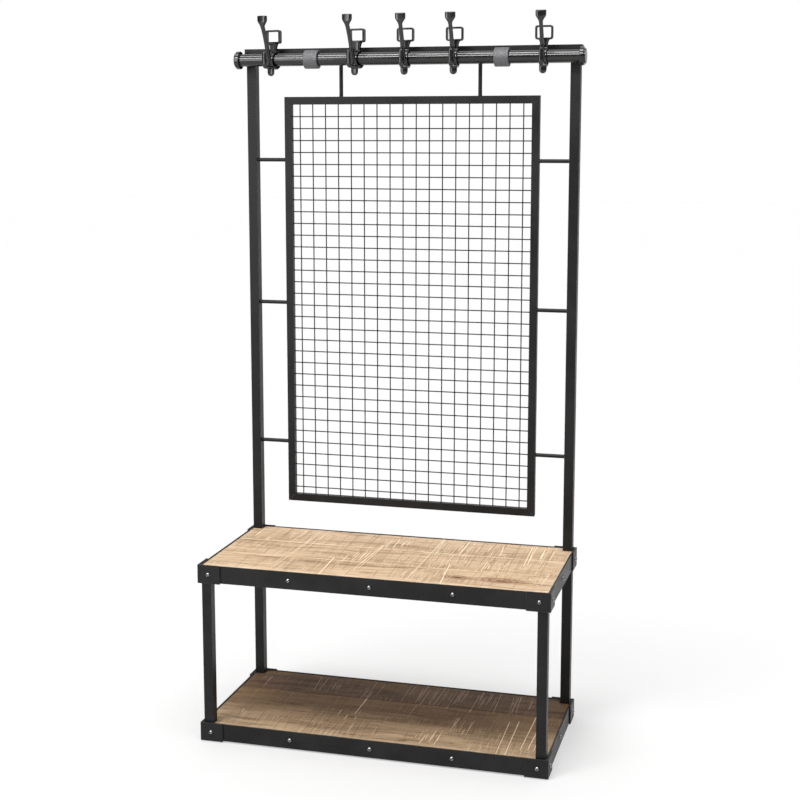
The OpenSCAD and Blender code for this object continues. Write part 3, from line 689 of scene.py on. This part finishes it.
SEAT_CUTS = saw_cuts(5, [
    (0.03, 3, 16, 0.62, 0.95, 0.9), (0.15, 10, 10, 0.62, 1.05, 1.0), (0.20, 1, 0, -0.2, 1.2, 1.3),
    (0.27, 5, 12, 0.66, 0.95, 0.6), (0.30, 2, 14, 0.40, 0.58, 0.8), (0.35, 1, 0, -0.2, 0.50, 1.2),
    (0.38, 6, 11, 0.30, 0.62, 0.8), (0.40, 3, 17, 0.10, 0.80, 0.9), (0.44, 12, 9, 0.62, 1.0, 0.85),
    (0.50, 5, 12, 0.36, 0.60, 0.6), (0.56, 3, 9, 0.0, 0.30, 0.7), (0.60, 1, 0, 0.02, 1.2, 1.3),
    (0.61, 16, 7, 0.60, 1.05, 1.0), (0.66, 9, 8, 0.36, 0.70, 0.8), (0.70, 1, 0, -0.2, 0.6, 1.2),
    (0.76, 9, 9, 0.62, 0.98, 0.8), (0.78, 10, 8, 0.34, 0.62, 0.9), (0.90, 9, 7, 0.55, 1.05, 1.0),
    (0.93, 4, 12, 0.10, 0.40, 0.7), (0.02, 60, 15, 0.35, 1.05, 0.40), (0.10, 22, 38, 0.0, 0.34, 0.36)])
SHELF_CUTS = saw_cuts(11, [
    (0.05, 7, 9, 0.70, 1.0, 0.8), (0.25, 12, 6, 0.68, 1.0, 0.9), (0.36, 8, 9, 0.68, 1.0, 0.7),
    (0.40, 1, 0, 0.25, 0.85, 0.9), (0.33, 16, 8, 0.28, 0.46, 0.9), (0.05, 8, 8, 0.14, 0.30, 0.8),
    (0.50, 14, 6, 0.66, 1.05, 0.8), (0.60, 14, 6, 0.66, 1.05, 1.0), (0.72, 12, 7, 0.66, 1.05, 0.9),
    (0.84, 9, 8, 0.66, 1.05, 0.9), (0.62, 9, 7, 0.05, 0.34, 1.1), (0.70, 7, 8, 0.20, 0.52, 0.8),
    (0.86, 2, 22, -0.1, 0.66, 1.2), (0.92, 3, 14, 0.0, 0.7, 1.2), (0.03, 58, 15, 0.30, 1.05, 0.36),
    (0.08, 24, 34, 0.0, 0.32, 0.34)])

# front Y, rear Y and tint of the painted shade that the seat casts on the shelf
SHELF_PAINTED_SHADE = (-0.19, 0.02, (0.44, 0.37, 0.30))

# node, slot, seed, tones, cuts, rub (how pale its worn edges are), knots (x, y, size and darkness)
PLANKS = [
    ("seat_plank_front", "seat_wood", 3, SEAT_WOOD, SEAT_CUTS, 0.8,
     [(0.315, -0.128, 0.014, 1.0), (0.205, -0.130, 0.009, 0.95), (-0.02, -0.15, 0.005, 0.6)]),
    ("seat_plank_middle", "seat_wood", 8, SEAT_WOOD, SEAT_CUTS, 0.5, [(-0.10, -0.03, 0.005, 0.45)]),
    ("seat_plank_rear", "seat_wood", 14, SEAT_WOOD, SEAT_CUTS, 1.0, [(0.05, 0.15, 0.005, 0.4)]),
    ("shelf_plank_front", "shelf_wood", 21, SHELF_WOOD, SHELF_CUTS, 0.35, [(0.20, -0.16, 0.006, 0.4)]),
    ("shelf_plank_middle", "shelf_wood", 27, SHELF_WOOD, SHELF_CUTS, 0.1, [(-0.27, -0.02, 0.007, 0.5)]),
    ("shelf_plank_rear", "shelf_wood", 35, SHADED_REAR_WOOD, SHELF_CUTS, 0.0, [(-0.05, 0.12, 0.010, 0.7)]),
]
for node, slot, seed, tones, cuts, rub, knots in PLANKS:
    cut_colour = tuple(min(0.90, c * 1.22 + 0.08) for c in tones[0])
    # only the shelf planks get the painted shade from the seat above
    painted_shade = SHELF_PAINTED_SHADE if tones is SHELF_WOOD else None
    offset = (seed * 1.7, seed * 3.3, seed * 0.9)
    timber = wood(node + "_timber", *tones, offset, knots, cut_colour, painted_shade, rub)
    deck = slot.split("_")[0]
    deck_low, deck_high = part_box(deck + "_plank_front")[0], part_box(deck + "_plank_rear")[1]
    plank(node, timber, seed, deck_low, deck_high, cuts)

batten_timber = wood("batten_timber", pale=(0.50, 0.37, 0.24), tan=(0.42, 0.30, 0.19),
                     brown=(0.25, 0.16, 0.1), offset=(5.1, 2.2, 7.3))
for node in ("seat_cross_battens", "seat_end_battens", "shelf_cross_battens", "shelf_end_battens"):
    dress(node, batten_timber, BATTEN_EASE)

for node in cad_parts:
    angle_rail = node.endswith("_rail") and node != "coat_rail"
    if angle_rail or node in TUBES or "_bracket_" in node or node == "top_bar":
        dress(node, steel, FRAME_EASE)
    if node.startswith("panel_"):
        dress(node, steel, 0.0 if node.endswith("rods") else PANEL_EASE)
for node in ("mesh_upright_wires", "mesh_level_wires"):
    dress(node, wire)
for node in ("seat_frame_bolts", "shelf_frame_bolts", "rail_clip_screws"):
    dress(node, bolt_black)
for node in ("seat_deck_screws", "shelf_deck_screws"):
    dress(node, screw_zinc)
dress("coat_rail", rail_black)
for node in ("left_end_cap", "right_end_cap"):
    dress(node, rail_black, CAP_EASE, 3)
dress("foot_plugs", plug_black, PLUG_EASE)
hang_hooks(hook_black)
rail_clips(clip_grey)
weld_beads(steel)

# ---------- studio ----------

FLOOR_SIZE = 60.0


def floor():
    """A white floor that glows a little, as a lit sweep does."""
    bm = bmesh.new()
    bmesh.ops.create_grid(bm, x_segments=2, y_segments=2, size=FLOOR_SIZE / 2)
    mesh = bpy.data.meshes.new("studio_floor")
    bm.to_mesh(mesh)
    bm.free()
    made = bpy.data.objects.new("studio_floor", mesh)
    bpy.context.scene.collection.objects.link(made)
    paint = Paint("studio_white", Roughness=0.9, Specular_IOR_Level=0.0, Base_Color=(0.42, 0.42, 0.42, 1),
                  Emission_Color=(1, 1, 1, 1), Emission_Strength=0.42)
    mesh.materials.append(paint.material)


def softbox(name, place, aim, size, radiance, lights_matt=True):
    """A rectangular area light at place that faces aim. It may be seen in glossy surfaces alone."""
    lamp = bpy.data.lights.new(name, "AREA")
    lamp.shape, lamp.size, lamp.size_y = "RECTANGLE", size[0], size[1]
    lamp.energy = radiance * math.pi * size[0] * size[1]
    made = bpy.data.objects.new(name, lamp)
    made.location = place
    made.rotation_euler = (Vector(aim) - Vector(place)).to_track_quat("-Z", "Y").to_euler()
    made.visible_diffuse = lights_matt
    bpy.context.scene.collection.objects.link(made)


def sun(name, towards, strength, spread_angle):
    """A distant light that shines towards a direction. Its spread is in degrees."""
    lamp = bpy.data.lights.new(name, "SUN")
    lamp.energy, lamp.angle = strength, math.radians(spread_angle)
    made = bpy.data.objects.new(name, lamp)
    made.rotation_euler = Vector(towards).to_track_quat("-Z", "Y").to_euler()
    bpy.context.scene.collection.objects.link(made)


def studio_air(front, behind, above):
    """A white sweep behind the object and a dimmer studio in front of it; the backdrop itself is white."""
    world = bpy.data.worlds.new("studio_air")
    bpy.context.scene.world = world
    world.use_nodes = True
    tree = world.node_tree
    tree.nodes.clear()

    def node(kind, **inputs):
        made = tree.nodes.new(kind)
        for key, value in inputs.items():
            socket = made.inputs[key.replace("_", " ")]
            if isinstance(value, bpy.types.NodeSocket):
                tree.links.new(value, socket)
            else:
                socket.default_value = value
        return made

    def span(value, low, high, to_low, to_high):
        made = node("ShaderNodeMapRange", Value=value, From_Min=low, From_Max=high,
                    To_Min=to_low, To_Max=to_high)
        made.interpolation_type = "SMOOTHSTEP"
        return made.outputs[0]

    way = node("ShaderNodeSeparateXYZ", Vector=node("ShaderNodeTexCoord").outputs["Generated"])
    level = span(way.outputs["Y"], -0.35, 0.55, front, behind)
    lit = node("ShaderNodeBackground", Strength=span(way.outputs["Z"], 0.35, 0.85, 0.0, 1.0))
    lit.inputs["Color"].default_value = (above, above, above, 1)
    sides = node("ShaderNodeBackground", Strength=level)
    sides.inputs["Color"].default_value = (1, 1, 1, 1)
    both = tree.nodes.new("ShaderNodeAddShader")
    tree.links.new(lit.outputs[0], both.inputs[0])
    tree.links.new(sides.outputs[0], both.inputs[1])
    shown = node("ShaderNodeBackground")
    shown.inputs["Color"].default_value = (1, 1, 1, 1)
    mixer = tree.nodes.new("ShaderNodeMixShader")
    tree.links.new(tree.nodes.new("ShaderNodeLightPath").outputs["Is Camera Ray"], mixer.inputs[0])
    tree.links.new(both.outputs[0], mixer.inputs[1])
    tree.links.new(shown.outputs[0], mixer.inputs[2])
    output = tree.nodes.new("ShaderNodeOutputWorld")
    tree.links.new(mixer.outputs[0], output.inputs[0])


floor()
studio_air(front=0.18, behind=0.80, above=0.42)
sun("high_sun_left", (0.30, 0.42, -1.35), 1.5, 22)
sun("high_sun_right", (-0.45, 0.30, -1.35), 0.7, 30)
softbox("left_wall", (-2.35, -3.6, 2.0), (0, 0, 1.0), (1.8, 2.4), 5.0)
softbox("rail_strip", (0.0, -2.2, 3.3), (0, 0.1, 1.7), (4.4, 0.5), 20, lights_matt=False)

CAMERA_PLACE = (0.995, -3.559, 1.546)
CAMERA_YAW = 15.26
CAMERA_TILT = -8.46
CAMERA_LENS = 66.7
CAMERA_SHIFT = -0.06

camera = bpy.data.cameras.new("studio_camera")
camera.lens, camera.sensor_width, camera.shift_y = CAMERA_LENS, 36.0, CAMERA_SHIFT
viewer = bpy.data.objects.new("studio_camera", camera)
viewer.location = CAMERA_PLACE
viewer.rotation_euler = (math.radians(90 + CAMERA_TILT), 0, math.radians(CAMERA_YAW))
bpy.context.scene.collection.objects.link(viewer)
bpy.context.scene.camera = viewer
bpy.context.scene.view_settings.view_transform = "Standard"
